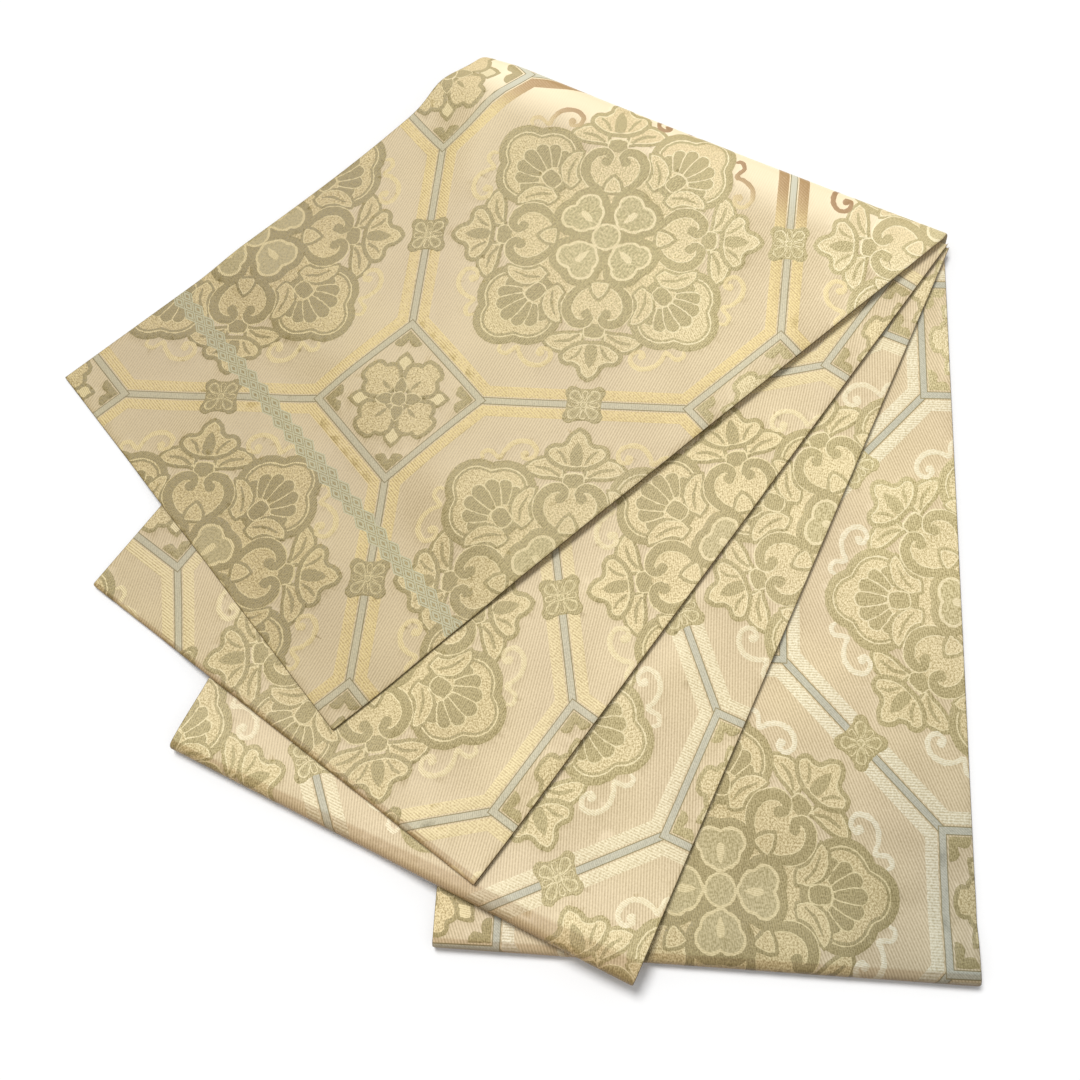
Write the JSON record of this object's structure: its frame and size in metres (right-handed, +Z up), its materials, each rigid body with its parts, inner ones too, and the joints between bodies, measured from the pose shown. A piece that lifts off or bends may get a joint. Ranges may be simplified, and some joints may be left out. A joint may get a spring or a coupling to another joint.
{
  "type": "folded obi sash",
  "caption": "Gold brocade obi sash of double cloth, folded into a fan of overlapping stretches that lie flat, woven with octagons, flower squares and medallions.",
  "frame": {"origin": "centre of the bounding box, on the surface that the folded sash lies on", "axes": "+Z up; +Y along the lowest stretch, from its foot fold to the corner the fan opens from; +X to that stretch's right"},
  "size_m": [0.593, 0.6134, 0.0245],
  "materials": {
    "brocade": "figured silk brocade, satin ground with gold, pale blue and olive threads",
    "back_cloth": "plain silk weave with a soft sheen"
  },
  "bodies": {
    "root": {"end_stretch": "brocade", "second_stretch": "brocade", "third_stretch": "brocade", "lowest_stretch": "brocade", "hidden_turns": "back_cloth"}
  },
  "joints": []
}
